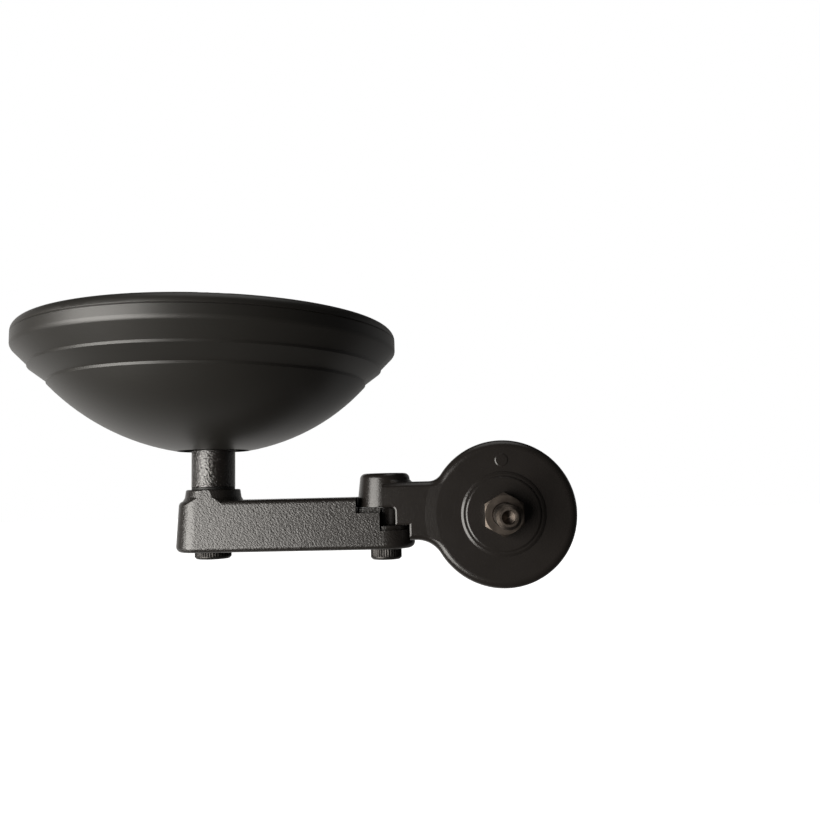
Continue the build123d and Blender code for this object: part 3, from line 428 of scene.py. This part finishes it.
# Ball joint: liner, seat, clamp, spring, plate and screws that hold the ball in the bowl.
# The liner is white acetal, the two sockets are black glass-filled nylon, and
# the spring presses the clamp down under a zinc-plated plate held by three screws.
acetal_white = mottled(
    "acetal_white", dark=(0.72, 0.71, 0.68), pale=(0.82, 0.81, 0.79), spots=1.5, detail=2.0,
    smooth=0.34, rougher=0.1, pits=0.2, depth=0.006,
)
socket_nylon = mottled(
    "socket_nylon", dark=(0.010, 0.010, 0.010), pale=(0.022, 0.022, 0.021), spots=0.35, detail=4.0,
    smooth=0.46, rougher=0.2, pits=0.35, depth=0.015, pit_detail=4.0,
)
dress(acetal_white, "ball_liner")
dress(socket_nylon, "ball_seat", "ball_clamp")
dress(spring_temper, "disc_spring")
dress(zinc_plate, "retainer_plate", "retainer_screws")


# Mirror housing and bezel ring: the bowl behind the glass and the ring that holds it.
# Both are moulded in black nylon with a fine satin grain from the mould, and
# the ring's skirt fits inside the bowl's rim.
BOWL_DARK = (0.0105, 0.0098, 0.0086)
BOWL_PALE = (0.0138, 0.0128, 0.0112)
BOWL_SPOTS = 14.0
SATIN_GRAIN = 0.22
SATIN_DETAIL = 3.0
SATIN_DEPTH = 0.006
SATIN_ROUGHNESS = 0.36
SATIN_DULLING = 0.08

bowl_satin, place = new_finish("bowl_satin")
satin = mottle(place, SATIN_GRAIN, SATIN_DETAIL)
lay(place, {
    "Base Color": mottle(place, BOWL_SPOTS).between(BOWL_DARK, BOWL_PALE),
    "Roughness": SATIN_ROUGHNESS + SATIN_DULLING * satin,
    "Normal": relief(satin, SATIN_DEPTH),
})
dress(bowl_satin, "mirror_housing", "bezel_ring")


# Mirror glass with its pad and plate: what the rider looks into.
# Float glass, slumped to a slight curve and silvered, stuck with a foam pad to
# a grey plate that rests in the bowl.
SILVER_DARK = (0.80, 0.83, 0.84)
SILVER_PALE = (0.86, 0.885, 0.89)
SILVER_SPOTS = 22.0
SILVER_DETAIL = 3.0
GLASS_COAT = 0.6
GLASS_COAT_RISE = 0.4
FOAM_DARK = (0.05, 0.05, 0.05)
FOAM_PALE = (0.12, 0.12, 0.12)
FOAM_CELL = 0.5
FOAM_CELL_DEPTH = 0.12
FOAM_ROUGHNESS = 0.85
FOAM_DULLING = 0.1

silvered_glass, place = new_finish("silvered_glass")
wipe = mottle(place, SILVER_SPOTS, SILVER_DETAIL)
lay(place, {
    "Base Color": wipe.between(SILVER_DARK, SILVER_PALE),
    "Metallic": 1.0,
    "Roughness": 0.0,
    "Coat Weight": GLASS_COAT + GLASS_COAT_RISE * wipe,
    "Coat Roughness": 0.01,
})
pad_foam, place = new_finish("pad_foam")
cells = place.node("TexVoronoi", None, {"Vector": place, "Scale": 1 / (FOAM_CELL * MM)})
lay(place, {
    "Base Color": cells.between(FOAM_DARK, FOAM_PALE),
    "Roughness": FOAM_ROUGHNESS + FOAM_DULLING * cells,
    "Normal": relief(cells, FOAM_CELL_DEPTH),
})
plate_grey = mottled(
    "plate_grey", dark=(0.10, 0.10, 0.10), pale=(0.15, 0.15, 0.15), spots=4.0, detail=3.0,
    smooth=0.5, rougher=0.15, pits=0.3, depth=0.01,
)
dress(silvered_glass, "mirror_glass")
dress(pad_foam, "adhesive_pad")
dress(plate_grey, "backing_plate")


# Floor: the pale board under the mirror, a hand's breadth below the part.
# Matt white and lit from within, so that it shows no shadow, and hidden from
# the part's own reflections.
FLOOR_Z = -0.11
FLOOR_REACH = 3.0
BOARD_DARK = (0.80, 0.80, 0.80)
BOARD_PALE = (0.84, 0.84, 0.84)
BOARD_SPOTS = 300.0
WHITE = (1, 1, 1, 1)

floor_mesh = bpy.data.meshes.new("floor")
floor_mesh.from_pydata(
    [(x * FLOOR_REACH, y * FLOOR_REACH, FLOOR_Z) for x, y in ((-1, -1), (1, -1), (1, 1), (-1, 1))],
    [], [(0, 1, 2, 3)],
)
floor = bpy.data.objects.new("floor", floor_mesh)
bpy.context.scene.collection.objects.link(floor)
board_white, place = new_finish("board_white")
lay(place, {
    "Base Color": mottle(place, BOARD_SPOTS).between(BOARD_DARK, BOARD_PALE),
    "Roughness": 0.9,
    "Specular IOR Level": 0.0,
    "Emission Color": WHITE,
    "Emission Strength": 1.0,
})
floor_mesh.materials.append(board_white)
floor.visible_diffuse = False
floor.visible_glossy = False
floor.visible_shadow = False


# Studio: a white room with one large softbox on the left, which lights the arm's front and the bowl.
# The room glows weakly all round, more from behind the part on the left and from
# right above it. The eye, and what the glass mirrors, see it plain white.
BOX_STAND = Vector((-0.4536, -0.4228, -0.099))
BOX_AIM = Vector((-0.05, 0.01, 0.0))
BOX_WIDTH = 0.51
BOX_HEIGHT = 0.65
BOX_WATTS = 11.0
BOX_TINT = (1.0, 0.97, 0.92)
ROOM_TINT = (1.0, 0.98, 0.95, 1)
ROOM_GLOW = 0.03
BACK_GLOW = 0.8
BACK_START = 0.1
BACK_FULL = 0.7
BACK_TOP_START = 0.3
BACK_TOP_END = 0.6
RIGHT_LOSS = 0.75
RIGHT_REACH = 0.3
CEILING_GLOW = 1.2
CEILING_START = 0.88
CEILING_FULL = 0.97

lamp = bpy.data.lights.new("left_box", "AREA")
lamp.shape = "RECTANGLE"
lamp.size = BOX_WIDTH
lamp.size_y = BOX_HEIGHT
lamp.energy = BOX_WATTS
lamp.color = BOX_TINT
box = bpy.data.objects.new("left_box", lamp)
box.location = BOX_STAND
box.rotation_euler = (BOX_AIM - BOX_STAND).to_track_quat("-Z", "Y").to_euler()
box.visible_camera = False
bpy.context.scene.collection.objects.link(box)

room = bpy.data.worlds.new("white_room")
bpy.context.scene.world = room
room.use_nodes = True
room.node_tree.nodes.clear()
air = Tone(room.node_tree)
toward = air.node("TexCoord", out="Generated")
behind = air.node("SeparateXYZ", None, {0: toward}, "Y").ramp(BACK_START, BACK_FULL)
aside = air.node("SeparateXYZ", None, {0: toward}, "X").ramp(-RIGHT_REACH, RIGHT_REACH)
above = air.node("SeparateXYZ", None, {0: toward}, "Z")
back_light = BACK_GLOW * behind * (1 - RIGHT_LOSS * aside) * (1 - above.ramp(BACK_TOP_START, BACK_TOP_END))
ceiling_light = CEILING_GLOW * above.ramp(CEILING_START, CEILING_FULL)
glow = air.node("Background", None, {"Color": ROOM_TINT, "Strength": ROOM_GLOW + back_light + ceiling_light})
seen = air.node("Background", None, {"Color": WHITE, "Strength": 1.0})
by_eye = air.node("LightPath", out="Is Camera Ray") + air.node("LightPath", out="Is Singular Ray")
air.node("OutputWorld", None, {"Surface": air.node("MixShader", None, {0: by_eye, 1: glow, 2: seen})})


# Camera: the photograph's viewpoint, about 0.2 m in front of the disc.
# It looks slightly up and to the left, and is rolled by a degree or so, as the
# photograph was.
EYE = Vector((-0.0115, -0.19367, 0.00786))
EYE_YAW = radians(-3.58)
EYE_PITCH = radians(5.83)
EYE_ROLL = radians(-1.39)
EYE_LENS = 32.77
EYE_SENSOR = 36.0
EYE_NEAR = 0.005

ahead = Vector((sin(EYE_YAW) * cos(EYE_PITCH), cos(EYE_YAW) * cos(EYE_PITCH), sin(EYE_PITCH)))
level = Vector((cos(EYE_YAW), -sin(EYE_YAW), 0))
upright = level.cross(ahead)
right = cos(EYE_ROLL) * level + sin(EYE_ROLL) * upright
top = cos(EYE_ROLL) * upright - sin(EYE_ROLL) * level
eye_data = bpy.data.cameras.new("eye")
eye_data.lens = EYE_LENS
eye_data.sensor_width = EYE_SENSOR
eye_data.clip_start = EYE_NEAR
eye = bpy.data.objects.new("eye", eye_data)
eye.matrix_world = Matrix.Translation(EYE) @ Matrix((right, top, -ahead)).transposed().to_4x4()
bpy.context.scene.collection.objects.link(eye)
bpy.context.scene.camera = eye
bpy.context.scene.view_settings.view_transform = "Standard"
